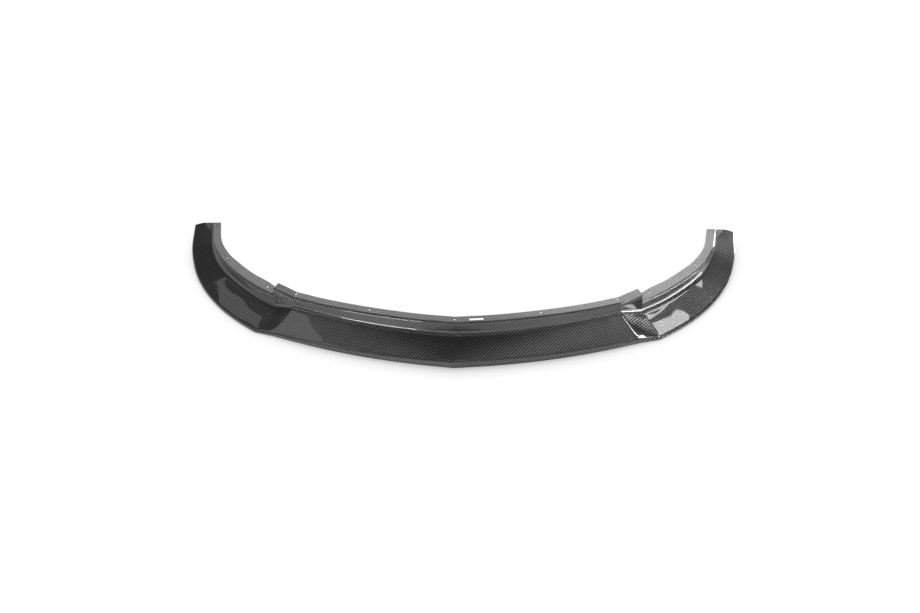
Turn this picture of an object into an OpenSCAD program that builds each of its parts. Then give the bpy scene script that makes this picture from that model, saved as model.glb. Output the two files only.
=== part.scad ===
// Front splitter lip for a car: one moulded laminate skin, swept round the bumper line.
// mm, +Z up, nose towards -Y, cut wing ends towards +Y, X = 0 is the plane of symmetry.

/* [Overall] */
// Width across the two wings
lip_w = 1800; // [1500:10:2000]
// Depth from the nose to the cut wing ends
lip_d = 552; // [460:2:640]
// Thickness of the laminate skin
skin_t = 3; // [2.4:0.1:4]

/* [Heights] */
// Top of the middle flange above the floor
mid_flange_h = 93; // [84:1:106]
// How far the side flanges lie below the middle flange
step_drop = 35; // [26:1:40]
// How far the side flange comes down again at the wing end
end_drop = 6; // [2:1:10]
// Height of the front rim at the nose
nose_rim_h = 32; // [26:1:36]
// Height of the front rim round the wings
wing_rim_h = 10.5; // [9:0.5:13]
// How far the rim lifts off the floor at the wing end
wing_lift = 32; // [20:1:34]
// Rise of the blade from rim to fillet at the nose
nose_rise = 18; // [12:1:22]
// Rise of the blade from rim to fillet at the inner crease
crease_rise = 39; // [30:1:42]
// Rise of the blade from rim to fillet on the wings
wing_rise = 12; // [8:1:16]

/* [Section] */
// Width of the blade in the middle, rim to fillet
mid_blade_w = 70; // [60:1:80]
// Width of the blade just outboard of the step
wing_blade_w = 89; // [78:1:98]
// Run and rise of the concave fillet at the foot of the wall
fillet_r = 12.4; // [10:0.2:14]
// Radius of the fold between flange and wall
fold_r = 5; // [4.5:0.5:6]
// Radius of the rolled front rim
rim_r = 8.6; // [7:0.2:10]
// Depth of the line pressed into the front rim
rim_line = 1.3; // [0.6:0.1:1.5]
// Width of the middle flange
mid_flange_w = 27; // [22:1:34]
// Width of which each station of the side flange takes its part, 0.6 to 0.83
side_flange_w = 46; // [38:1:52]

/* [Fixings] */
// Radius of the screw holes
screw_r = 3.3; // [2.2:0.1:4.2]
// Length of the slot in the middle flange
slot_l = 43; // [30:1:60]
// Width of the slot in the middle flange
slot_w = 9.5; // [6:0.5:11]
// Distance of the slot's middle from the plane of symmetry
slot_x = 66; // [56:1:84]

/* [Hidden] */
steps = 6;
facet_steps = 4;
// Run per height of the wall above its split; below the split the wall stands steeper
upper_lean = 0.24;
half_w = lip_w / 2 - rim_r;
depth = lip_d - rim_r;
// The origin is the middle of the plan, so the rim's nose stands here
nose_y = rim_r - lip_d / 2;
side_flange_h = mid_flange_h - step_drop;

// One row per station of the half lip, nose first. Columns:
// 0 rim x and 1 rim y as parts of half_w and depth, 2 blade bearing, 3 flange bearing,
// 4 blade width, 5 blade rise, 6 rim height, 7 rim lift, 8 fillet size, 9 wall run,
// 10 flange width, 11 flange height
mid_rows = [
  [0, 0, 0, 0, 1.035, nose_rise, nose_rim_h],
  [0.139, 0.023, 6, 4, 0.97, lerp(nose_rise, crease_rise, 0.19), lerp(nose_rim_h, wing_rim_h, 0.09)],
  [0.284, 0.0585, 13, 8, 0.95, lerp(nose_rise, crease_rise, 0.37), lerp(nose_rim_h, wing_rim_h, 0.18)],
  [0.412, 0.1013, 20, 12, 0.945, lerp(nose_rise, crease_rise, 0.55), lerp(nose_rim_h, wing_rim_h, 0.27)],
  [0.525, 0.1485, 29, 17, 0.985, lerp(nose_rise, crease_rise, 0.78), lerp(nose_rim_h, wing_rim_h, 0.41)],
  [0.629, 0.198, 41, 22, 1.075, crease_rise, lerp(nose_rim_h, wing_rim_h, 0.64)]
];
mid_wall_run = [5, 7.5, 8.5, 8, 5.5, 4.5];
mid_table = [for (i = [0:5]) let (r = mid_rows[i])
  [r[0] * half_w, nose_y + r[1] * depth, r[2], r[3], r[4] * mid_blade_w, r[5], r[6], 0, fillet_r,
   mid_wall_run[i], mid_flange_w, mid_flange_h]];

// Columns: rim x, rim y, blade bearing, flange bearing, blade width, rise, lift, wall run,
// flange width, drop, fillet
side_rows = [
  [0.7005, 0.2265, 29.8, 27.7, 1, 0.72, 0, 5.5, 0.62, 0, 1],
  [0.7745, 0.307, 38, 38, 0.955, 0.79, 0, 5, 0.83, 0, 1],
  [0.8445, 0.4015, 47, 48, 0.92, 0.92, 0, 4, 0.79, 0.1, 1],
  [0.911, 0.5245, 57, 60, 0.825, 1.07, 0, 2.8, 0.815, 0.2, 1],
  [0.9608, 0.6615, 69, 73, 0.715, 1.27, 0.14, 1.8, 0.765, 0.4, 0.9],
  [0.9915, 0.823, 82, 84, 0.64, 1.2, 0.56, 1.2, 0.6, 0.72, 0.75],
  [1, 1, 90, 90, 0.49, 0.55, 1, 1, 0.6, 1, 0.8]
];
side_rim = [1.2, 1.1, 1.05, 1, 1, 1, 1];
side_table = [for (i = [0:6]) let (r = side_rows[i])
  [r[0] * half_w, nose_y + r[1] * depth, r[2], r[3], r[4] * wing_blade_w, r[5] * wing_rise,
   side_rim[i] * wing_rim_h, r[6] * wing_lift, r[10] * fillet_r, r[7],
   r[8] * side_flange_w, side_flange_h - r[9] * end_drop]];

function lerp(a, b, t) = a + (b - a) * t;

// Smooth curve through the rows of a table, free at both ends
function row_at(table, i) =
  i < 0 ? 2 * table[0] - table[1]
  : i >= len(table) ? 2 * table[len(table) - 1] - table[len(table) - 2]
  : table[i];
function curve(table, s) =
  let (i = min(floor(s), len(table) - 2), t = s - i,
       a = row_at(table, i - 1), b = row_at(table, i), c = row_at(table, i + 1), d = row_at(table, i + 2))
  0.5 * (2 * b + (c - a) * t + (2 * a - 5 * b + 4 * c - d) * t * t + (3 * b - a - 3 * c + d) * t * t * t);

function bend(a, m, b, t) = (1 - t) * (1 - t) * a + 2 * t * (1 - t) * m + t * t * b;
function unit(v) = v / norm(v);

// Section in its own plane as [run inboard of the rim, height], from the free edge of the
// flange down to the foot of the rim. split sets where the wall changes its lean
function section(row, split) =
  let (
    lift = max(row[7], 0),
    rim = [0, row[6] + lift],
    heel = [row[4], rim[1] + row[5]],
    fold = [row[4] + row[8] + row[9], row[11]],
    foot_h = min(heel[1] + row[8], fold[1] - 1.6),
    foot = [row[4] + row[8], foot_h],
    down = unit(foot - fold),
    bite = min(fold_r, 0.42 * norm(foot - fold)),
    fold_a = fold + [bite, 0],
    fold_b = fold + bite * down,
    above = (1 - split) * (fold_b[1] - foot[1]),
    split_u = max(foot[0], min(lerp(foot[0], fold_b[0], split), fold_b[0] - upper_lean * above)),
    root = [row[4] + 0.8 * row[8], heel[1] + 0.22 * (foot_h - heel[1])],
    crown = (heel + rim) / 2 + [0, 1],
    slope = unit(rim - heel),
    drop = min(0.72 * rim_r, 0.42 * (rim[1] - lift)),
    lip = [-rim_r, rim[1] - drop],
    nose = rim + slope * 0.62 * rim_r,
    line_h = lift + 0.38 * (rim[1] - lift)
  )
  [
    fold + [row[10], 0],
    fold_a,
    bend(fold_a, fold, fold_b, 0.5),
    fold_b,
    [split_u, fold_b[1] - above],
    foot,
    bend(foot, root, heel, 0.28),
    bend(foot, root, heel, 0.5),
    bend(foot, root, heel, 0.75),
    heel,
    crown,
    rim,
    bend(rim, nose, lip, 0.45),
    lip,
    [-rim_r, line_h],
    [-rim_r, lift]
  ];

// The same section set in by the skin thickness, on mitred corners
function side_of(v) = [-v[1], v[0]];
function inset(p, t) =
  [for (i = [0:len(p) - 1])
    let (
      a = i == 0 ? side_of(unit(p[1] - p[0])) : side_of(unit(p[i] - p[i - 1])),
      b = i == len(p) - 1 ? a : side_of(unit(p[i + 1] - p[i]))
    )
    p[i] + t * (a + b) / (1 + a * b)];

// The outer face carries the pressed line: the lower band stands back from the upper one
function with_line(p) =
  [for (i = [0:len(p) - 1])
    i == len(p) - 1 ? p[i] + [0.6 * rim_line, 0]
    : i == len(p) - 2 ? p[i] + [rim_line, 0]
    : p[i]];

// Section to space: the blade runs on one bearing, the wall and flange on another.
// along shifts the flange, fold and wall round the sweep, to give the step its own wall
function place(row, p, along) =
  [for (i = [0:len(p) - 1])
    let (
      u = p[i][0],
      on_blade = min(u, row[4]),
      past = max(u - row[4], 0),
      shift = along
    )
    [row[0] - sin(row[2]) * on_blade - sin(row[3]) * past + shift * cos(row[3]),
     row[1] + cos(row[2]) * on_blade + cos(row[3]) * past + shift * sin(row[3]),
     p[i][1]]];

// Stations of one half: [row, split, shift of outer face, shift of inner face]
last_mid = mid_table[5];
first_side = side_table[0];
facet = [for (k = [1:facet_steps])
  let (t = k / facet_steps, r = lerp(last_mid, first_side, t))
  [[for (c = [0:11]) c == 10 ? mid_flange_w * lerp(1, 1.04, t) : c == 11 ? mid_flange_h : r[c]],
   lerp(0.06, 0.9, pow(t, 0.3)), 0, k == facet_steps ? -skin_t : 0]];
end_row = side_table[6];
gusset_w = 0.62 * side_flange_w;
half = concat(
  [for (k = [0:5 * steps]) [curve(mid_table, k / steps), 0.06, 0, 0]],
  facet,
  [[first_side, 0.9, 0.6, 0.6 - skin_t]],
  [for (k = [1:6 * steps - 2]) [curve(side_table, k / steps), 0.9, 0, 0]]
);

function outer_points(s) = place(s[0], with_line(section(s[0], s[1])), s[2]);
function inner_points(s) = place(s[0], inset(section(s[0], s[1]), skin_t), s[3]);

half_outer = [for (s = half) outer_points(s)];
half_inner = [for (s = half) inner_points(s)];

// The cut wing end: the valley between flange and blade is bridged at flange level
cut = section(end_row, 0.9);
gusset_a = cut[3] + [-0.6, -0.4];
gusset_b = [cut[0][0] - row_width(end_row) - gusset_w, cut[0][1] - 1.2];
function row_width(row) = row[10];
end_section = concat(
  [for (i = [0:3]) cut[i]],
  [for (i = [0:5]) lerp(gusset_a, gusset_b, i / 5)],
  [(gusset_b + cut[11]) / 2 + [0, 0.8]],
  [for (i = [11:15]) cut[i]]
);
end_outer = place(end_row, with_line(end_section), 0);
end_inner = place(end_row, inset(end_section, skin_t), 0);

all_outer = concat(half_outer, [end_outer]);
all_inner = concat(half_inner, [end_inner]);
count = len(all_outer);
wide = len(all_outer[0]);

function flip(p) = [for (q = p) [-q[0], q[1], q[2]]];
// Stations from the left wing end to the right one
skin_out = concat([for (j = [count - 1:-1:1]) flip(all_outer[j])], all_outer);
skin_in = concat([for (j = [count - 1:-1:1]) flip(all_inner[j])], all_inner);
total = len(skin_out);
points = concat([for (s = skin_out) for (p = s) p], [for (s = skin_in) for (p = s) p]);

function o(j, k) = j * wide + k;
function n(j, k) = total * wide + j * wide + k;

// Two triangles to a cell, mirrored about the plane of symmetry
function cell(a, b, c, d, right) =
  right ? [[a, b, c], [a, c, d]] : [[a, b, d], [b, c, d]];
function turned(t) = [t[0], t[2], t[1]];

// Wall foot and blade heel in a section: the two corners the gusset hangs on
foot_k = 4;
heel_k = 9;
function gusset_cell(f, j, k, right) =
  let (near = right ? j : j + 1, far = right ? j + 1 : j)
  right
    ? [[f(near, k), f(far, foot_k), f(near, k + 1)], [f(near, heel_k), f(far, k), f(far, k + 1)]]
    : [[f(far, foot_k), f(near, k), f(near, k + 1)], [f(far, k), f(near, heel_k), f(far, k + 1)]];

function skin_faces(f, out) =
  [for (j = [0:total - 2]) for (k = [0:wide - 2])
    let (
      right = j >= total / 2 - 0.5,
      at_end = (j == 0 || j == total - 2) && k >= foot_k && k < heel_k,
      tri = at_end
        ? gusset_cell(f, j, k, right)
        : cell(f(j, k), f(j + 1, k), f(j + 1, k + 1), f(j, k + 1), right)
    )
    for (t = tri) out ? t : turned(t)];

faces = concat(
  skin_faces(function(j, k) o(j, k), true),
  skin_faces(function(j, k) n(j, k), false),
  [for (j = [0:total - 2]) for (t = cell(o(j, 0), n(j, 0), n(j + 1, 0), o(j + 1, 0), j >= total / 2 - 0.5)) t],
  [for (j = [0:total - 2])
    for (t = cell(o(j + 1, wide - 1), n(j + 1, wide - 1), n(j, wide - 1), o(j, wide - 1), j >= total / 2 - 0.5)) t],
  [for (k = [0:wide - 2]) for (t = [[o(0, k), o(0, k + 1), n(0, k + 1)], [o(0, k), n(0, k + 1), n(0, k)]]) t],
  [for (k = [0:wide - 2])
    for (t = [[o(total - 1, k), n(total - 1, k + 1), o(total - 1, k + 1)],
              [o(total - 1, k), n(total - 1, k), n(total - 1, k + 1)]]) t]
);

// Screw holes: [table, station, part of the flange width in from the free edge]
function hole_spot(table, s, part) =
  let (
    row = curve(table, s),
    u = row[4] + row[8] + row[9] + row[10] * (1 - part),
    q = place(row, [[u, row[11]]], 0)[0]
  ) q;
holes = [
  hole_spot(mid_table, 4.98, 0.27),
  hole_spot(mid_table, 2.26, 0.36),
  hole_spot(side_table, 0.74, 0.42),
  hole_spot(side_table, 3.77, 0.42)
];
nose_hole = hole_spot(mid_table, 0, 0.36);

module drill(at) {
  translate([at[0], at[1], at[2] - 12]) cylinder(r = screw_r, h = 24, $fn = 48);
}

module slot() {
  near = hole_spot(mid_table, 0.4, 0.45);
  far = hole_spot(mid_table, 0.9, 0.45);
  run = far - near;
  translate(near + run * (slot_x - near[0]) / run[0])
    rotate([0, 0, atan2(run[1], run[0])])
      cube([slot_l, slot_w, 24], center = true);
}

module splitter_lip() {
  color([0.09, 0.09, 0.1])
    difference() {
      polyhedron(points = points, faces = faces, convexity = 8);
      drill(nose_hole);
      for (h = holes) {
        drill(h);
        drill([-h[0], h[1], h[2]]);
      }
      slot();
    }
}

splitter_lip();
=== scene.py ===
"""Looks for the front splitter lip: one clear-coated carbon twill skin, swept round the bumper line.

Lengths are worked out in millimetres, as the part's source has them, and go into the
meshes in metres. +X is the car's left, +Y runs back to the cut wing ends, +Z is up.
"""

import math

import bpy
import numpy as np
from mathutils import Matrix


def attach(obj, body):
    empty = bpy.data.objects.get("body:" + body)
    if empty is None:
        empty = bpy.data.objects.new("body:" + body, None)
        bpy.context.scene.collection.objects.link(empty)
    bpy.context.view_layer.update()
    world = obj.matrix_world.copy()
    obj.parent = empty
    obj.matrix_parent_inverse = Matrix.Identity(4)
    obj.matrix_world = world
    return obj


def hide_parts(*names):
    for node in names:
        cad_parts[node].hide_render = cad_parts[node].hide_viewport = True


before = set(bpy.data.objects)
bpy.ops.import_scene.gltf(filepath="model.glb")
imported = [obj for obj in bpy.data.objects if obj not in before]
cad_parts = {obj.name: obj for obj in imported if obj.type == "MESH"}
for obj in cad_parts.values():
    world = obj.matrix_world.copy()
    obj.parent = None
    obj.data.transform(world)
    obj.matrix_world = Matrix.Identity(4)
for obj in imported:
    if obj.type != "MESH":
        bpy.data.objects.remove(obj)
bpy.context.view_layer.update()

MM = 0.001

# The camera: its turns in degrees, its focal length and picture width in pixels, and in
# millimetres the floor point that it looks at and how far away that is
CAM_PITCH = 49.807
CAM_YAW = -4.215
CAM_ROLL = -2.244
CAM_FOCAL_PX = 1006.4
CAM_IMAGE_W = 920.0
CAM_AIM = (8.593, -31.634)
CAM_DISTANCE = 3190.5
SENSOR_MM = 36.0
CLIP_NEAR_M = 0.05
CLIP_FAR_M = 60.0


def make_camera():
    """The viewing axis is pitched down and yawed; right and up are rolled about that axis."""
    pitch, yaw, roll = (math.radians(a) for a in (CAM_PITCH, CAM_YAW, CAM_ROLL))
    along = np.array([
        math.sin(yaw) * math.cos(pitch),
        math.cos(yaw) * math.cos(pitch),
        -math.sin(pitch),
    ])
    right = np.array([math.cos(yaw), -math.sin(yaw), 0.0])
    up = np.cross(right, along)
    turned_right = math.cos(roll) * right + math.sin(roll) * up
    turned_up = -math.sin(roll) * right + math.cos(roll) * up
    place = np.array([CAM_AIM[0], CAM_AIM[1], 0.0]) - along * CAM_DISTANCE
    matrix = np.eye(4)
    matrix[:3, 0] = turned_right
    matrix[:3, 1] = turned_up
    matrix[:3, 2] = -along
    matrix[:3, 3] = place * MM
    data = bpy.data.cameras.new("camera")
    data.sensor_fit = "HORIZONTAL"
    data.sensor_width = SENSOR_MM
    data.lens = CAM_FOCAL_PX / CAM_IMAGE_W * SENSOR_MM
    data.clip_start = CLIP_NEAR_M
    data.clip_end = CLIP_FAR_M
    camera = bpy.data.objects.new("camera", data)
    bpy.context.scene.collection.objects.link(camera)
    camera.matrix_world = matrix.T.tolist()
    bpy.context.scene.camera = camera


make_camera()

# The lip's sizes, the same named values as in the part's source
LIP_W = 1800.0
LIP_D = 552.0
SKIN_T = 3.0
MID_FLANGE_H = 93.0
STEP_DROP = 35.0
END_DROP = 6.0
NOSE_RIM_H = 32.0
WING_RIM_H = 10.5
WING_LIFT = 32.0
NOSE_RISE = 18.0
CREASE_RISE = 39.0
WING_RISE = 12.0
MID_BLADE_W = 70.0
WING_BLADE_W = 89.0
FILLET_R = 12.4
FOLD_R = 5.0
RIM_R = 8.6
RIM_LINE = 1.3
MID_FLANGE_W = 27.0
SIDE_FLANGE_W = 46.0
SCREW_R = 3.3
SLOT_L = 43.0
SLOT_W = 9.5
SLOT_X = 66.0

HALF_W = LIP_W / 2 - RIM_R
DEPTH = LIP_D - RIM_R
NOSE_Y = RIM_R - LIP_D / 2
SIDE_FLANGE_H = MID_FLANGE_H - STEP_DROP

# Run per height of the wall above its split; below the split the wall stands steeper
UPPER_LEAN = 0.24
# Where the split stands, as a part of the wall from its foot up: in the middle and on a wing.
# Along the facet it goes from one to the other, fast at first
MID_SPLIT = 0.06
SIDE_SPLIT = 0.9
SPLIT_EASE = 0.3
# The wall between foot and fold is never lower than this
WALL_LEAST = 1.6
# An arc takes up this much of the straight beside it at most
ARC_SHARE = 0.42
# The fillet arc's control point, as parts of the fillet's run and rise
ROOT_RUN = 0.8
ROOT_RISE = 0.22
# The rim arc, in rim radii: its control point along the blade, and how far it comes down
NOSE_REACH = 0.62
NOSE_DROP = 0.72
# How far the blade's control point lies above its chord: along the sweep and at a cut end
CROWN = 2.0
END_CROWN = 1.6
# The pressed line: its height as a part of the rim's, its slopes above and below in
# millimetres, and the parts of its depth that are left at its lower edge and at the foot
LINE_AT = 0.38
LINE_ABOVE = 1.1
LINE_BELOW = 1.3
LINE_LEFT = 0.45
FOOT_LEFT = 0.6
# The gusset at a cut wing end: its width, where its near edge lies from the fold's lower end,
# and how far its far edge lies below the flange
GUSSET_W = 0.62 * SIDE_FLANGE_W
GUSSET_NEAR = np.array([-0.6, -0.4])
GUSSET_DROP = 1.2
# The middle flange widens to this many times its width along the facet
FACET_WIDEN = 1.04
# How far the riser's foot stands outboard of its top
RISER_LEAN = 0.6


def mix(a, b, t):
    return a + (b - a) * t


# Stations of the middle, nose to inner crease: rim x and y as parts of the half width and
# depth, blade and flange bearings, blade width, rise part, rim part, wall run
MID_ROWS = np.array([
    [0.0, 0.0, 0.0, 0.0, 1.035, 0.0, 0.0, 5.0],
    [0.139, 0.023, 6.0, 4.0, 0.97, 0.19, 0.09, 7.5],
    [0.284, 0.0585, 13.0, 8.0, 0.95, 0.37, 0.18, 8.5],
    [0.412, 0.1013, 20.0, 12.0, 0.945, 0.55, 0.27, 8.0],
    [0.525, 0.1485, 29.0, 17.0, 0.985, 0.78, 0.41, 5.5],
    [0.629, 0.198, 41.0, 22.0, 1.075, 1.0, 0.64, 4.5],
])

# Stations of a wing, outer crease to cut end: rim x, rim y, blade and flange bearings, blade
# width, rise, lift, wall run, flange width, drop, fillet, rim height
SIDE_ROWS = np.array([
    [0.7005, 0.2265, 29.8, 27.7, 1.0, 0.72, 0.0, 5.5, 0.62, 0.0, 1.0, 1.2],
    [0.7745, 0.307, 38.0, 38.0, 0.955, 0.79, 0.0, 5.0, 0.83, 0.0, 1.0, 1.1],
    [0.8445, 0.4015, 47.0, 48.0, 0.92, 0.92, 0.0, 4.0, 0.79, 0.1, 1.0, 1.05],
    [0.911, 0.5245, 57.0, 60.0, 0.825, 1.07, 0.0, 2.8, 0.815, 0.2, 1.0, 1.0],
    [0.9608, 0.6615, 69.0, 73.0, 0.715, 1.27, 0.14, 1.8, 0.765, 0.4, 0.9, 1.0],
    [0.9915, 0.823, 82.0, 84.0, 0.64, 1.2, 0.56, 1.2, 0.6, 0.72, 0.75, 1.0],
    [1.0, 1.0, 90.0, 90.0, 0.49, 0.55, 1.0, 1.0, 0.6, 1.0, 0.8, 1.0],
])

# Columns of a worked-out station, in millimetres and degrees
RIM_X, RIM_Y, BLADE_TURN, FLANGE_TURN, BLADE, RISE, RIM_H, LIFT, FILLET, RUN, FLANGE, TOP = range(12)


def mid_table():
    r = MID_ROWS
    full = np.ones(len(r))
    return np.column_stack([
        r[:, 0] * HALF_W, NOSE_Y + r[:, 1] * DEPTH, r[:, 2], r[:, 3],
        r[:, 4] * MID_BLADE_W, mix(NOSE_RISE, CREASE_RISE, r[:, 5]),
        mix(NOSE_RIM_H, WING_RIM_H, r[:, 6]), 0 * full, FILLET_R * full, r[:, 7],
        MID_FLANGE_W * full, MID_FLANGE_H * full,
    ])


def side_table():
    r = SIDE_ROWS
    return np.column_stack([
        r[:, 0] * HALF_W, NOSE_Y + r[:, 1] * DEPTH, r[:, 2], r[:, 3],
        r[:, 4] * WING_BLADE_W, r[:, 5] * WING_RISE, r[:, 11] * WING_RIM_H,
        r[:, 6] * WING_LIFT, r[:, 10] * FILLET_R, r[:, 7],
        r[:, 8] * SIDE_FLANGE_W, SIDE_FLANGE_H - r[:, 9] * END_DROP,
    ])


def along_table(table, s):
    """Catmull-Rom curve through the table's rows at the parameters s, free at both ends."""
    s = np.atleast_1d(np.asarray(s, float))
    rows = np.vstack([2 * table[0] - table[1], table, 2 * table[-1] - table[-2]])
    i = np.minimum(np.floor(s).astype(int), len(table) - 2)
    t = (s - i)[:, None]
    a, b, c, d = rows[i], rows[i + 1], rows[i + 2], rows[i + 3]
    return 0.5 * (2 * b + (c - a) * t + (2 * a - 5 * b + 4 * c - d) * t ** 2
                  + (3 * b - a - 3 * c + d) * t ** 3)


def unit(v):
    return v / np.linalg.norm(v, axis=-1, keepdims=True)


def bend(a, m, b, t):
    """Quadratic Bezier arc: (1-t)^2 a + 2t(1-t) m + t^2 b, for each station and each t."""
    t = np.asarray(t, float)[None, :, None]
    a, m, b = a[:, None], m[:, None], b[:, None]
    return (1 - t) ** 2 * a + 2 * t * (1 - t) * m + t ** 2 * b


def straight(a, b, t):
    t = np.asarray(t, float)[None, :, None]
    return a[:, None] * (1 - t) + b[:, None] * t


# How many points each stretch of the section has
N_FLANGE, N_FOLD, N_WALL, N_TOE, N_FILLET, N_BLADE, N_NOSE, N_BAND = 6, 8, 5, 4, 9, 12, 9, 3

# Where the wall's split, its foot, the blade's heel and the rim stand in the section
SPLIT_K = N_FLANGE + N_FOLD + N_WALL
FOOT_K = SPLIT_K + N_TOE
HEEL_K = FOOT_K + N_FILLET
RIM_K = HEEL_K + N_BLADE

# The two directions of the section's own plane
INBOARD = np.array([1.0, 0.0])
UPWARD = np.array([0.0, 1.0])


def steps(n):
    """n equal steps from 0, the end left out."""
    return np.arange(n) / n


def corners(rows, split):
    """The named points of the section, [run inboard of the rim, height], one row per station."""
    def point(u, h):
        return np.column_stack([u, h])
    lift = np.maximum(rows[:, LIFT], 0)
    rim_h = rows[:, RIM_H] + lift
    rim = point(0 * lift, rim_h)
    heel = point(rows[:, BLADE], rim_h + rows[:, RISE])
    fold = point(rows[:, BLADE] + rows[:, FILLET] + rows[:, RUN], rows[:, TOP])
    foot_h = np.minimum(heel[:, 1] + rows[:, FILLET], fold[:, 1] - WALL_LEAST)
    foot = point(rows[:, BLADE] + rows[:, FILLET], foot_h)
    bite = np.minimum(FOLD_R, ARC_SHARE * np.linalg.norm(foot - fold, axis=1))[:, None]
    fold_b = fold + bite * unit(foot - fold)
    above = (1 - split) * (fold_b[:, 1] - foot_h)
    on_line = mix(foot[:, 0], fold_b[:, 0], split)
    split_u = np.maximum(foot[:, 0], np.minimum(on_line, fold_b[:, 0] - UPPER_LEAN * above))
    root_u = rows[:, BLADE] + ROOT_RUN * rows[:, FILLET]
    drop = np.minimum(NOSE_DROP * RIM_R, ARC_SHARE * (rim_h - lift))
    front_u = -RIM_R + 0 * lift
    return {
        "free": fold + rows[:, FLANGE][:, None] * INBOARD,
        "fold_a": fold + bite * INBOARD,
        "fold": fold,
        "fold_b": fold_b,
        "split": point(split_u, fold_b[:, 1] - above),
        "foot": foot,
        "root": point(root_u, heel[:, 1] + ROOT_RISE * (foot_h - heel[:, 1])),
        "heel": heel,
        "crown": (heel + rim) / 2 + CROWN * UPWARD,
        "rim": rim,
        "nose": rim + unit(rim - heel) * NOSE_REACH * RIM_R,
        "lip": point(front_u, rim_h - drop),
        "line": point(front_u, lift + LINE_AT * (rim_h - lift)),
        "base": point(front_u, lift),
    }


def profile(c, line_depth):
    """Section as stretches in order: flange, fold arc, wall down to the split and on to the
    foot, fillet arc, crowned blade, nose arc, upper band, pressed line, lower band."""
    line_top = c["line"] + LINE_ABOVE * UPWARD
    line_low = c["line"] + LINE_LEFT * line_depth * INBOARD - LINE_BELOW * UPWARD
    base = c["base"] + FOOT_LEFT * line_depth * INBOARD
    return np.concatenate([
        straight(c["free"], c["fold_a"], steps(N_FLANGE)),
        bend(c["fold_a"], c["fold"], c["fold_b"], steps(N_FOLD)),
        straight(c["fold_b"], c["split"], steps(N_WALL)),
        straight(c["split"], c["foot"], steps(N_TOE)),
        bend(c["foot"], c["root"], c["heel"], steps(N_FILLET)),
        bend(c["heel"], c["crown"], c["rim"], steps(N_BLADE)),
        bend(c["rim"], c["nose"], c["lip"], steps(N_NOSE)),
        straight(c["lip"], line_top, steps(N_BAND)),
        line_top[:, None],
        (c["line"] + line_depth * INBOARD)[:, None],
        line_low[:, None],
        straight(line_low, base, (0.5, 1.0)),
    ], axis=1)


def gusset_profile(rows, line_depth):
    """The section of a cut wing end: as profile, but from the fold the points run along a
    straight gusset that bridges the valley at flange level."""
    c = corners(rows, np.full(len(rows), SIDE_SPLIT))
    near = c["fold_b"] + GUSSET_NEAR
    far = c["fold"] - np.array([GUSSET_W, GUSSET_DROP])
    crown = (far + c["rim"]) / 2 + END_CROWN * UPWARD
    points = profile(c, line_depth)
    points[:, SPLIT_K - N_WALL:SPLIT_K] = straight(c["fold_b"], near, steps(N_WALL))
    points[:, SPLIT_K:HEEL_K] = straight(near, far, steps(HEEL_K - SPLIT_K))
    points[:, HEEL_K:RIM_K] = bend(far, crown, c["rim"], steps(N_BLADE))
    return points


def inset(points, t):
    """The section set in by the skin thickness: each point moves along the mean of its two
    neighbouring edge normals, lengthened so that both edges keep their distance."""
    run = unit(np.diff(points, axis=1))
    side = np.stack([-run[..., 1], run[..., 0]], axis=-1)
    a = np.concatenate([side[:, :1], side], axis=1)
    b = np.concatenate([side, side[:, -1:]], axis=1)
    return points + t * (a + b) / (1 + (a * b).sum(-1, keepdims=True))


def lay_out(rows, run, along):
    """Section to plan: the blade's run goes on its own bearing, what lies past the heel on the
    flange's, and along shifts a station round the sweep."""
    blade_a = np.radians(rows[:, BLADE_TURN])[:, None]
    flange_a = np.radians(rows[:, FLANGE_TURN])[:, None]
    on_blade = np.minimum(run, rows[:, BLADE][:, None])
    past = np.maximum(run - rows[:, BLADE][:, None], 0)
    shift = np.asarray(along, float)[:, None]
    x = rows[:, RIM_X][:, None] - np.sin(blade_a) * on_blade - np.sin(flange_a) * past
    y = rows[:, RIM_Y][:, None] + np.cos(blade_a) * on_blade + np.cos(flange_a) * past
    return np.stack([x + shift * np.cos(flange_a), y + shift * np.sin(flange_a)], axis=-1)


def unrolled_run(rows, points):
    """Length of cloth from the rim line to each point, measured round the section from the heel."""
    edge = np.linalg.norm(np.diff(points, axis=1), axis=2)
    length = np.concatenate([np.zeros((len(points), 1)), np.cumsum(edge, axis=1)], axis=1)
    return rows[:, BLADE][:, None] + length[:, HEEL_K][:, None] - length


def solid_points(rows, points, along):
    plan = lay_out(rows, points[..., 0], along)
    return np.concatenate([plan, points[..., 1:]], axis=-1)


# How far a crease's rounding reaches to either side, and the share over that at which a
# station still counts as within it
CREASE_REACH = 5.0
REACH_SLACK = 1.001
# The same reach as a part of a table step: past the nose, before the inner crease, at both ends
# of the facet and past the outer crease
NOSE_PART = 0.068
INNER_PART = 0.056
FACET_PART = 0.075
OUTER_PART = 0.06
# Even stations of the middle, the facet and a wing, and the last one's place on the wing table
MID_COUNT = 56
FACET_COUNT = 22
SIDE_COUNT = 80
SIDE_LAST = 5.6667


def stations(last, count, *close):
    """Even places from 0 to last with the close ones among them, each once and in order."""
    return np.unique(np.round(np.concatenate([np.linspace(0, last, count), *close]), 5))


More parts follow.
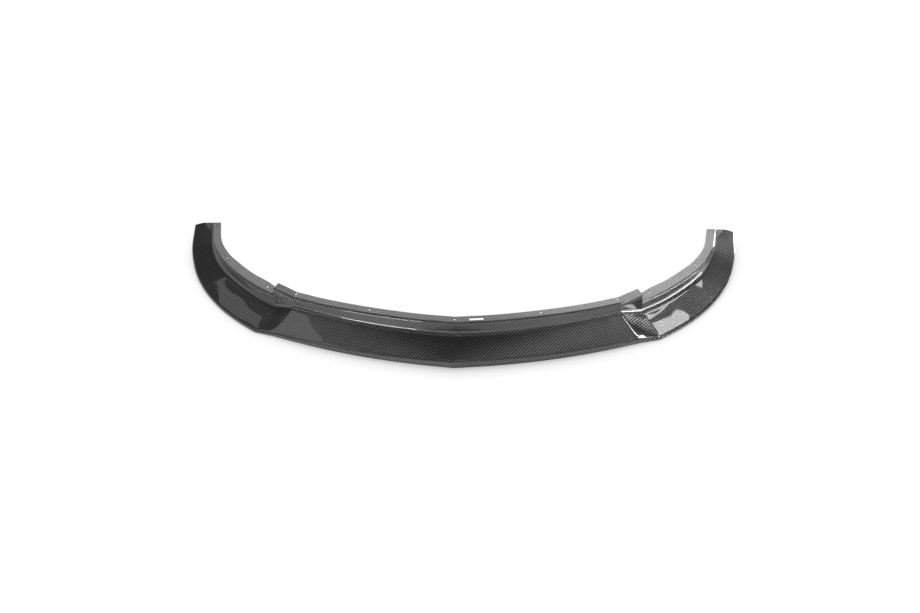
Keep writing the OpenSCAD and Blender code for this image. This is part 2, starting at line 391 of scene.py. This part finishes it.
def half_stations():
    """All stations of the right half, nose to cut end, with the wall's split, the shifts of the
    outer and inner faces, and the places of the inner crease and of the step."""
    mid, side = mid_table(), side_table()
    last = len(mid) - 1
    near = np.array([1.0, 0.75, 0.5, 0.25, 0.0])
    s_mid = stations(last, MID_COUNT, NOSE_PART * near, last - INNER_PART * near)
    t_facet = stations(1, FACET_COUNT, FACET_PART * near, 1 - FACET_PART * near)[1:]
    s_side = stations(SIDE_LAST, SIDE_COUNT, OUTER_PART * near)[1:]
    facet = mid[-1] + (side[0] - mid[-1]) * t_facet[:, None]
    facet[:, FLANGE] = MID_FLANGE_W * mix(1, FACET_WIDEN, t_facet)
    facet[:, TOP] = MID_FLANGE_H
    rows = np.vstack([along_table(mid, s_mid), facet, side[:1], along_table(side, s_side)])
    split = np.concatenate([
        np.full(len(s_mid), MID_SPLIT),
        mix(MID_SPLIT, SIDE_SPLIT, t_facet ** SPLIT_EASE),
        np.full(1 + len(s_side), SIDE_SPLIT),
    ])
    crease = len(s_mid) - 1
    step = len(s_mid) + len(t_facet) - 1
    out_shift, in_shift = np.zeros(len(rows)), np.zeros(len(rows))
    in_shift[step] = -SKIN_T
    out_shift[step + 1], in_shift[step + 1] = RISER_LEAN, RISER_LEAN - SKIN_T
    return rows, split, out_shift, in_shift, crease, step


def round_crease(points, j, first_k, reach):
    """Stations within reach of station j move onto the quadratic arc from reach before it to
    reach after it, with the crease itself as the arc's middle point."""
    path = points[:, RIM_K, :2]
    gap = np.linalg.norm(np.diff(path, axis=0), axis=1)
    length = np.concatenate([[0.0], np.cumsum(gap)])
    d = length - length[j]
    lo = np.searchsorted(d, -reach * REACH_SLACK)
    hi = np.searchsorted(d, reach * REACH_SLACK) - 1
    a, m, b = points[lo, first_k:], points[j, first_k:], points[hi, first_k:]
    t = ((d[lo:hi + 1] - d[lo]) / (d[hi] - d[lo]))[:, None, None]
    points[lo:hi + 1, first_k:] = (1 - t) ** 2 * a + 2 * t * (1 - t) * m + t ** 2 * b


def lip_surfaces():
    """Outer and inner skins of the whole lip as grids [station, section point, xyz], the cloth
    position of each grid point on the plan of the unrolled laminate, and the places of the
    middle and of the step, with the step's bearing."""
    rows, split, out_shift, in_shift, crease, step = half_stations()
    end = side_table()[-1:]
    c = corners(rows, split)
    plain, grooved = profile(c, 0.0), profile(c, RIM_LINE)
    end_plain, end_grooved = gusset_profile(end, 0.0), gusset_profile(end, RIM_LINE)
    outer = np.concatenate([
        solid_points(rows, grooved, out_shift),
        solid_points(end, end_grooved, [0.0]),
    ])
    inner = np.concatenate([
        solid_points(rows, inset(plain, SKIN_T), in_shift),
        solid_points(end, inset(end_plain, SKIN_T), [0.0]),
    ])
    cloth = np.concatenate([
        lay_out(rows, unrolled_run(rows, grooved), out_shift),
        lay_out(end, unrolled_run(end, end_grooved), [0.0]),
    ])
    for skin in (outer, inner):
        round_crease(skin, crease, 0, CREASE_REACH)
        round_crease(skin, step, FOOT_K, CREASE_REACH)
    mirror = np.array([-1.0, 1.0, 1.0])
    whole = [np.concatenate([(g * mirror[:g.shape[2]])[:0:-1], g]) for g in (outer, inner, cloth)]
    centre = len(outer) - 1
    round_crease(whole[0], centre, 0, CREASE_REACH)
    round_crease(whole[1], centre, 0, CREASE_REACH)
    step_turn = math.radians(side_table()[0, FLANGE_TURN])
    return whole, centre, step, step_turn


# The cloth: tow counts per millimetre across and along the car. The diagonals close up
# towards the wings, where the cloth is pulled round the corner
TOWS = np.array([0.4, 0.345])
PULL_FROM = 300.0
PULL = 1.0e-4


def tow_count(cloth):
    """Cloth position to tows: u = a x + p sign(x) (|x| - x0)^2 beyond x0, v = b y."""
    beyond = np.maximum(np.abs(cloth[..., 0]) - PULL_FROM, 0)
    tows = TOWS * cloth
    tows[..., 0] += PULL * np.sign(cloth[..., 0]) * beyond ** 2
    return tows


def riser_tows(points, step_turn):
    """On a riser the section's run and the height carry the cloth, not the sweep."""
    side = np.sign(points[:, 0])
    height = points[:, 2]
    run = points[:, 1] * math.cos(step_turn) - np.abs(points[:, 0]) * math.sin(step_turn)
    across = side * (height * math.cos(step_turn) - run * math.sin(step_turn))
    along = run * math.cos(step_turn) + height * math.sin(step_turn)
    return TOWS * np.stack([across, along], axis=1)


FACE_OUT, FACE_FLANGE, FACE_IN, FACE_CUT = range(4)


def lip_faces(total, wide, centre):
    """Faces of the closed mesh over the two grids: the outer skin, the inner one turned over,
    and the strips that join them along the flange edge, the rim's foot and the two cut ends.
    Gives each face's kind too, and the grid cell that it fills or -1."""
    count = total * wide
    j, k = (g.ravel() for g in np.meshgrid(np.arange(total - 1), np.arange(wide - 1), indexing="ij"))
    at_end = ((j == 0) | (j == total - 2)) & (k >= SPLIT_K) & (k < HEEL_K)
    end_j, end_k = j[at_end], k[at_end]
    j, k = j[~at_end], k[~at_end]
    grid = j * wide + k
    quads = np.stack([grid, grid + wide, grid + wide + 1, grid + 1], axis=1)

    # The gusset at each cut end: two fans of triangles
    right = end_j >= centre
    near = np.where(right, end_j, end_j + 1) * wide
    far = np.where(right, end_j + 1, end_j) * wide
    fans = np.concatenate([
        np.stack([near + end_k, far + SPLIT_K, near + end_k + 1], axis=1),
        np.stack([near + HEEL_K, far + end_k, far + end_k + 1], axis=1),
    ])
    turned = np.concatenate([~right, ~right])
    fans[turned] = fans[turned][:, [1, 0, 2]]

    def strip(a, b):
        """Quads between the two point rows a and b, a's side first."""
        return np.stack([a[:-1], b[:-1], b[1:], a[1:]], axis=1)

    station = np.arange(total) * wide
    section = np.arange(wide)
    last = (total - 1) * wide
    edges = np.concatenate([
        strip(station, station + count),
        strip(station + wide - 1 + count, station + wide - 1),
        strip(section + count, section),
        strip(last + section, last + section + count),
    ])
    blocks = [quads, fans, quads[:, ::-1] + count, fans[:, ::-1] + count, edges]
    faces = [face for block in blocks for face in block.tolist()]
    skin = len(quads) + len(fans)
    kinds = np.concatenate([
        np.where(k < N_FLANGE, FACE_FLANGE, FACE_OUT),
        np.full(len(fans), FACE_FLANGE),
        np.full(skin, FACE_IN),
        np.full(len(edges), FACE_CUT),
    ])
    cells = np.full((2, len(faces)), -1)
    for first in (0, skin):
        cells[:, first:first + len(quads)] = j, k
    return faces, kinds, cells


def lip_mesh():
    """The lip as one closed mesh, with the cloth's tow counts as its texture coordinates."""
    (outer, inner, cloth), centre, step, step_turn = lip_surfaces()
    total, wide = outer.shape[:2]
    points = np.concatenate([outer.reshape(-1, 3), inner.reshape(-1, 3)])
    faces, kinds, (cell_j, cell_k) = lip_faces(total, wide, centre)
    mesh = bpy.data.meshes.new("splitter_skin")
    mesh.from_pydata((points * MM).tolist(), [], faces)
    loop_point = np.zeros(len(mesh.loops), np.int32)
    mesh.loops.foreach_get("vertex_index", loop_point)
    uv = np.tile(tow_count(cloth).reshape(-1, 2), (2, 1))[loop_point]
    riser = ((cell_j == centre + step) | (cell_j == centre - step - 1)) & (cell_k < SPLIT_K)
    on_riser = np.repeat(riser, [len(face) for face in faces])
    uv[on_riser] = riser_tows(points[loop_point[on_riser]], step_turn)
    layer = mesh.uv_layers.new(name="cloth")
    layer.data.foreach_set("uv", uv.astype(np.float32).ravel())
    mesh.polygons.foreach_set("material_index", kinds.astype(np.int32))
    mesh.polygons.foreach_set("use_smooth", np.ones(len(faces), bool))
    mesh.update()
    return mesh


# The holes: place along the table, and part of the flange's width in from its free edge
MID_HOLES = ((4.98, 0.27), (2.26, 0.36))
SIDE_HOLES = ((0.74, 0.42), (3.77, 0.42))
NOSE_HOLE = (0.0, 0.36)
# The slot runs along the line between these two places
SLOT_ALONG = ((0.4, 0.45), (0.9, 0.45))
ROUND_SIDES = 48
# The cutters reach this far above and below the flange's top
CUT_REACH = 12.0


def hole_spot(table, s, part):
    """Plan position and height of a hole, at part of the flange's width in from its free edge."""
    row = along_table(table, s)
    run = row[:, BLADE] + row[:, FILLET] + row[:, RUN] + row[:, FLANGE] * (1 - part)
    return np.append(lay_out(row, run[:, None], [0.0])[0, 0], row[0, TOP])


def prism(outline, top):
    """Points and faces of an upright prism through the flange, over an anticlockwise outline."""
    n = len(outline)
    ring = np.arange(n)
    after = (ring + 1) % n
    points = np.concatenate([
        np.column_stack([outline, np.full(n, top - CUT_REACH)]),
        np.column_stack([outline, np.full(n, top + CUT_REACH)]),
    ])
    sides = np.stack([ring, after, after + n, ring + n], axis=1).tolist()
    return points, [ring[::-1].tolist(), (ring + n).tolist(), *sides]


def slot_prism(mid):
    """The slot as a turned rectangle, centred SLOT_X from the plane of symmetry."""
    near, far = (hole_spot(mid, *place) for place in SLOT_ALONG)
    run = far - near
    at = near + run * (SLOT_X - near[0]) / run[0]
    along = unit(run[:2])
    across = np.array([-along[1], along[0]])
    corner = np.array([[-1, -1], [1, -1], [1, 1], [-1, 1]]) * np.array([SLOT_L / 2, SLOT_W / 2])
    return prism(at[:2] + corner[:, :1] * along + corner[:, 1:] * across, at[2])


def hole_cutters():
    """The nine screw holes as round prisms, and the slot, in one mesh."""
    mid, side = mid_table(), side_table()
    pairs = [hole_spot(mid, *place) for place in MID_HOLES]
    pairs += [hole_spot(side, *place) for place in SIDE_HOLES]
    spots = [spot * np.array([sign, 1, 1]) for spot in pairs for sign in (1, -1)]
    spots.append(hole_spot(mid, *NOSE_HOLE))
    turn = steps(ROUND_SIDES) * 2 * math.pi
    circle = SCREW_R * np.column_stack([np.cos(turn), np.sin(turn)])
    shapes = [prism(circle + spot[:2], spot[2]) for spot in spots]
    shapes.append(slot_prism(mid))
    points, faces = [], []
    for shape_points, shape_faces in shapes:
        faces.extend([[i + len(points) for i in face] for face in shape_faces])
        points.extend((shape_points * MM).tolist())
    mesh = bpy.data.meshes.new("hole_cutters")
    mesh.from_pydata(points, [], faces)
    return mesh


# An edge that turns by more than this stays sharp
SHARP_DEG = 32.0


def make_lip(materials):
    """The skin with its holes cut, smooth but for its true edges."""
    mesh = lip_mesh()
    for material in materials:
        mesh.materials.append(material)
    lip = bpy.data.objects.new("splitter_lip_skin", mesh)
    bpy.context.scene.collection.objects.link(lip)
    cutter_mesh = hole_cutters()
    cutter_mesh.materials.append(materials[FACE_CUT])
    cutter = bpy.data.objects.new("hole_cutters", cutter_mesh)
    bpy.context.scene.collection.objects.link(cutter)
    cut = lip.modifiers.new("holes", "BOOLEAN")
    cut.operation = "DIFFERENCE"
    cut.solver = "EXACT"
    cut.material_mode = "TRANSFER"
    cut.object = cutter
    bpy.context.view_layer.update()
    done = bpy.data.meshes.new_from_object(lip.evaluated_get(bpy.context.evaluated_depsgraph_get()))
    lip.modifiers.clear()
    lip.data = done
    bpy.data.objects.remove(cutter)
    bpy.data.meshes.remove(mesh)
    done.name = "splitter_lip_skin"
    done.polygons.foreach_set("use_smooth", np.ones(len(done.polygons), bool))
    done.set_sharp_from_angle(angle=math.radians(SHARP_DEG))
    return lip


class Graph:
    """Short ways to add and join the shader nodes of a material or of the world."""

    def __init__(self, owner, shader):
        owner.use_nodes = True
        self.tree = owner.node_tree
        self.shader = self.tree.nodes[shader]

    def node(self, kind, **settings):
        n = self.tree.nodes.new(kind)
        for key, value in settings.items():
            setattr(n, key, value)
        return n

    def wire(self, source, target):
        """Join an output to target, or set target to a number or a colour."""
        if isinstance(source, bpy.types.NodeSocket):
            self.tree.links.new(source, target)
        elif isinstance(source, tuple):
            target.default_value = (*source, 1.0)
        else:
            target.default_value = source

    def dress(self, values):
        """Join or set inputs of the main shader, by their names."""
        for name, value in values.items():
            self.wire(value, self.shader.inputs[name])

    def math(self, operation, a, b=0.0, c=0.0):
        n = self.node("ShaderNodeMath", operation=operation)
        for i, value in enumerate((a, b, c)):
            self.wire(value, n.inputs[i])
        return n.outputs[0]

    def colour_mix(self, factor, a, b):
        n = self.node("ShaderNodeMix", data_type="RGBA")
        for i, value in ((0, factor), (6, a), (7, b)):
            self.wire(value, n.inputs[i])
        return n.outputs[2]

    def map_range(self, value, limits, **settings):
        """Take value from the first two limits to the last two."""
        n = self.node("ShaderNodeMapRange", **settings)
        self.wire(value, n.inputs[0])
        for socket, limit in zip(n.inputs[1:5], limits):
            socket.default_value = limit
        return n.outputs[0]

    def noise(self, place, scale, detail):
        n = self.node("ShaderNodeTexNoise")
        n.inputs["Scale"].default_value = scale
        n.inputs["Detail"].default_value = detail
        self.wire(place, n.inputs["Vector"])
        return n.outputs[0]


# The weave repeats after this many tows
REPEAT = 4.0
# Power and share by which a tow's height falls off: across the tow, and along its float
ARCH = (2.0, 3.4)
CRIMP = (3.0, 0.9)


def twill(g):
    """2x2 twill from tow counts u, v. A cell's warp lies on top where floor(u) - floor(v) is 0 or 1
    in four. Gives u and v, that mask, a choice between two values by it, and the tow's height."""
    uv = g.node("ShaderNodeUVMap", uv_map="cloth")
    split = g.node("ShaderNodeSeparateXYZ")
    g.wire(uv.outputs[0], split.inputs[0])
    u, v = split.outputs[0], split.outputs[1]
    i, j = g.math("FLOOR", u), g.math("FLOOR", v)
    phase = g.math("FLOORED_MODULO", g.math("SUBTRACT", i, j), REPEAT)
    warp = g.math("LESS_THAN", phase, 1.5)

    def across_tow(count):
        return g.math("SUBTRACT", g.math("FRACT", count), 0.5)

    def along_float(a, b):
        turned = g.math("FLOORED_MODULO", g.math("SUBTRACT", a, b), REPEAT)
        return g.math("SUBTRACT", turned, 1.0)

    def pick(a, b):
        return g.math("ADD", g.math("MULTIPLY", a, warp),
                      g.math("MULTIPLY", b, g.math("SUBTRACT", 1.0, warp)))

    def fall_off(place, power, share):
        """1 in the tow's middle, less by share |place|^power beside it."""
        away = g.math("POWER", g.math("ABSOLUTE", place), power)
        return g.math("SUBTRACT", 1.0, g.math("MULTIPLY", away, share))

    across = pick(across_tow(u), across_tow(v))
    along = pick(along_float(g.math("ADD", i, 1.0), v), along_float(u, g.math("ADD", j, 2.0)))
    height = g.math("MULTIPLY", fall_off(across, *ARCH), fall_off(along, *CRIMP))
    return u, v, warp, pick, height


# Fibre streaks: noise cells per tow across it and along it, where the warp takes its noise,
# and how the noise becomes a brightness
FINE = 9.0
LONG = 0.35
WARP_NOISE = 7.3
STREAK_TONE = (0.3, 0.7, 0.72, 1.28)
# How the tow's height becomes the brightness of the resin in the gaps
GAP_TONE = (0.05, 0.5, 0.25, 1.0)
FIBRE_SHEEN = 0.95
WEAVE_DEPTH_M = 0.0002
RESIN_IOR = 1.5


def carbon(name, warp_sheen_tone, weft_shade_tone, base_rough, coat, coat_rough, relief):
    """Carbon twill under resin: tows of two tones, where the warp's lighter tone is a painted sheen,
    each with fibre streaks along it and its sheen turned with it, dark resin in the gaps between
    them, and a clear coat."""
    material = bpy.data.materials.new(name)
    g = Graph(material, "Principled BSDF")
    u, v, warp, pick, height = twill(g)
    place = g.node("ShaderNodeCombineXYZ")
    g.wire(g.math("MULTIPLY", u, pick(FINE, LONG)), place.inputs[0])
    g.wire(g.math("MULTIPLY", v, pick(LONG, FINE)), place.inputs[1])
    g.wire(g.math("MULTIPLY", warp, WARP_NOISE), place.inputs[2])
    fibre = g.map_range(g.noise(place.outputs[0], scale=1.0, detail=3.0), STREAK_TONE)
    gap = g.map_range(height, GAP_TONE, interpolation_type="SMOOTHSTEP")
    shade = g.node("ShaderNodeVectorMath", operation="SCALE")
    # Painted sheen: the warp tows get a lighter tone than the weft, for the light that their fibres
    # catch
    g.wire(g.colour_mix(warp, weft_shade_tone, warp_sheen_tone), shade.inputs[0])
    g.wire(g.math("MULTIPLY", fibre, gap), shade.inputs["Scale"])
    tangent = g.node("ShaderNodeTangent", direction_type="UV_MAP", uv_map="cloth")
    bump = g.node("ShaderNodeBump")
    bump.inputs["Strength"].default_value = relief
    bump.inputs["Distance"].default_value = WEAVE_DEPTH_M
    g.wire(height, bump.inputs["Height"])
    g.dress({
        "Base Color": shade.outputs[0],
        "Metallic": 1.0,
        "Roughness": base_rough,
        "Anisotropic": FIBRE_SHEEN,
        "Anisotropic Rotation": g.math("MULTIPLY", g.math("SUBTRACT", 1.0, warp), 0.25),
        "Tangent": tangent.outputs[0],
        "Normal": bump.outputs[0],
        "Coat Weight": coat,
        "Coat Roughness": coat_rough,
        "Coat IOR": RESIN_IOR,
    })
    return material


def cut_edge():
    """The sawn edge of the laminate: thin dark plies, matt."""
    material = bpy.data.materials.new("cut_laminate_edge")
    g = Graph(material, "Principled BSDF")
    place = g.node("ShaderNodeTexCoord")
    grain = g.noise(place.outputs["Object"], scale=900.0, detail=2.0)
    g.dress({
        "Base Color": g.colour_mix(grain, (0.02, 0.02, 0.021), (0.075, 0.075, 0.078)),
        "Roughness": 0.6,
    })
    return material


# In the order of the face kinds
# Each carbon's first colour is the warp's and its second the weft's; the lighter warp is painted
# sheen
materials = [
    carbon("carbon_gloss", (0.145, 0.145, 0.148), (0.042, 0.042, 0.043),
           base_rough=0.45, coat=1.0, coat_rough=0.02, relief=0.2),
    # The flange's lighter tones are partly painted light, for the light that the upward-facing
    # flange catches; its rougher satin coat is real
    carbon("carbon_flange_with_painted_light", (0.2, 0.2, 0.204), (0.14, 0.14, 0.142),
           base_rough=0.5, coat=1.0, coat_rough=0.2, relief=0.2),
    carbon("carbon_underside", (0.13, 0.13, 0.132), (0.06, 0.06, 0.062),
           base_rough=0.55, coat=0.15, coat_rough=0.5, relief=0.6),
    cut_edge(),
]
lip = make_lip(materials)
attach(lip, "root")
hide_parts("splitter_lip")

# The floor, in metres: half its side, and how far round the lip its painted shadow reaches
FLOOR_HALF = 20.0
SHADE_REACH = 0.05
FLOOR_TONE = (0.8, 0.8, 0.8)
# Strength of the floor's own white, and its share of what is seen; the lamps light the rest
FLOOR_WHITE = 1.04
WHITE_SHARE = 0.95


def make_floor():
    """A pale floor whose own white shows to the camera and in the lip, with a painted shadow where
    the lip stands close."""
    h = FLOOR_HALF
    mesh = bpy.data.meshes.new("studio_floor")
    mesh.from_pydata([(-h, -h, 0), (h, -h, 0), (h, h, 0), (-h, h, 0)], [], [(0, 1, 2, 3)])
    floor = bpy.data.objects.new("studio_floor", mesh)
    bpy.context.scene.collection.objects.link(floor)
    material = bpy.data.materials.new("studio_floor")
    mesh.materials.append(material)
    g = Graph(material, "Principled BSDF")
    g.dress({"Base Color": FLOOR_TONE, "Roughness": 0.9, "Specular IOR Level": 0.0})
    # Painted shadow: ambient occlusion darkens the floor's own white near the lip
    near = g.node("ShaderNodeAmbientOcclusion", samples=8)
    near.inputs["Distance"].default_value = SHADE_REACH
    glow_with_painted_shadow = g.node("ShaderNodeEmission")
    g.wire(near.outputs["Color"], glow_with_painted_shadow.inputs["Color"])
    g.wire(FLOOR_WHITE, glow_with_painted_shadow.inputs["Strength"])
    ray = g.node("ShaderNodeLightPath")
    mirrored = g.math("MAXIMUM", ray.outputs["Is Glossy Ray"], ray.outputs["Is Transmission Ray"])
    seen = g.math("MAXIMUM", ray.outputs["Is Camera Ray"], mirrored)
    blend = g.node("ShaderNodeMixShader")
    g.wire(g.math("MULTIPLY", seen, WHITE_SHARE), blend.inputs[0])
    g.wire(g.shader.outputs[0], blend.inputs[1])
    g.wire(glow_with_painted_shadow.outputs[0], blend.inputs[2])
    g.wire(blend.outputs[0], g.tree.nodes["Material Output"].inputs["Surface"])


# The room's brightness by the height of a ray's direction, 0 level and 1 straight up: each row
# has the heights between which it changes, and its brightness at them
BACKDROP = (0.06, 0.14, 0.9, 0.08)
OVERHEAD = (0.8, 0.92, 0.0, 0.06)


def make_world():
    """A dim room: a white backdrop low all round, a little light overhead. The camera sees the
    whole room as white."""
    world = bpy.data.worlds.new("studio")
    g = Graph(world, "Background")
    where = g.node("ShaderNodeTexCoord")
    split = g.node("ShaderNodeSeparateXYZ")
    g.wire(where.outputs["Generated"], split.inputs[0])
    room = g.math("ADD", *(g.map_range(split.outputs[2], row, interpolation_type="SMOOTHSTEP")
                           for row in (BACKDROP, OVERHEAD)))
    ray = g.node("ShaderNodeLightPath")
    g.dress({
        "Color": (1.0, 1.0, 1.0),
        "Strength": g.math("MAXIMUM", room, ray.outputs["Is Camera Ray"]),
    })
    bpy.context.scene.world = world


# Height of the panels, and distance of the cards, in metres. They hang far away, so that each
# lies in one direction for the whole lip
CEILING = 30.0
CARD_DISTANCE = 30.0

# Upright soft boxes: bearing from +Y, spread in bearing, elevations of the lower and upper
# edge, all in degrees, and radiance
CARDS = {
    "softbox_right": (110.0, 32.0, 0.0, 12.0, 28.0),
    "side_right": (50.0, 26.0, 3.0, 14.0, 46.0),
    "strip_front_left": (-158.0, 16.0, 0.0, 7.0, 32.0),
    "wall_left": (-97.0, 54.0, 0.0, 40.0, 0.8),
}

# Soft boxes under the ceiling: x, y, width and length as parts of its height, turn in degrees,
# and radiance
PANELS = {
    "strip_right": (0.585, -0.14, 0.12, 0.30, 18.0, 35.0),
    "window_right": (0.3252, 0.521, 0.2, 0.12, -31.0, 10.0),
    "window_right_end": (0.2435, 0.66, 0.085, 0.055, -47.8, 10.0),
    "window_left": (-0.545, 0.565, 0.22, 0.08, 0.0, 1.1),
    "panel_left": (-0.725, -0.55, 0.45, 0.9, 0.0, 1.0),
    "panel_rear_left": (-0.25, 0.97, 0.4, 0.4, 0.0, 2.8),
    "panel_rear_right": (0.2, 0.97, 0.35, 0.4, 0.0, 5.5),
}


def area_light(name, width, height, radiance):
    """A soft box that the camera doesn't see. Its power is pi times its area times its radiance."""
    data = bpy.data.lights.new(name, "AREA")
    data.shape = "RECTANGLE"
    data.size, data.size_y = width, height
    data.energy = math.pi * width * height * radiance
    light = bpy.data.objects.new(name, data)
    bpy.context.scene.collection.objects.link(light)
    light.visible_camera = False
    return light


def make_card(name, bearing, spread, low, high, radiance):
    """An upright soft box that faces the lip."""
    side = 2 * CARD_DISTANCE * math.tan(math.radians(spread) / 2)
    bottom, top = (CARD_DISTANCE * math.tan(math.radians(a)) for a in (low, high))
    light = area_light(name, side, top - bottom, radiance)
    turn = math.radians(bearing)
    light.location = (math.sin(turn) * CARD_DISTANCE, math.cos(turn) * CARD_DISTANCE,
                      (bottom + top) / 2)
    light.rotation_euler = (math.pi / 2, 0.0, math.pi - turn)


def make_panel(name, x, y, width, length, turn, radiance):
    """A soft box flat under the ceiling."""
    light = area_light(name, width * CEILING, length * CEILING, radiance)
    light.location = (x * CEILING, y * CEILING, CEILING)
    light.rotation_euler = (0.0, 0.0, math.radians(turn))


make_floor()
make_world()
for name, card in CARDS.items():
    make_card(name, *card)
for name, panel in PANELS.items():
    make_panel(name, *panel)

view = bpy.context.scene.view_settings
view.view_transform = "Standard"
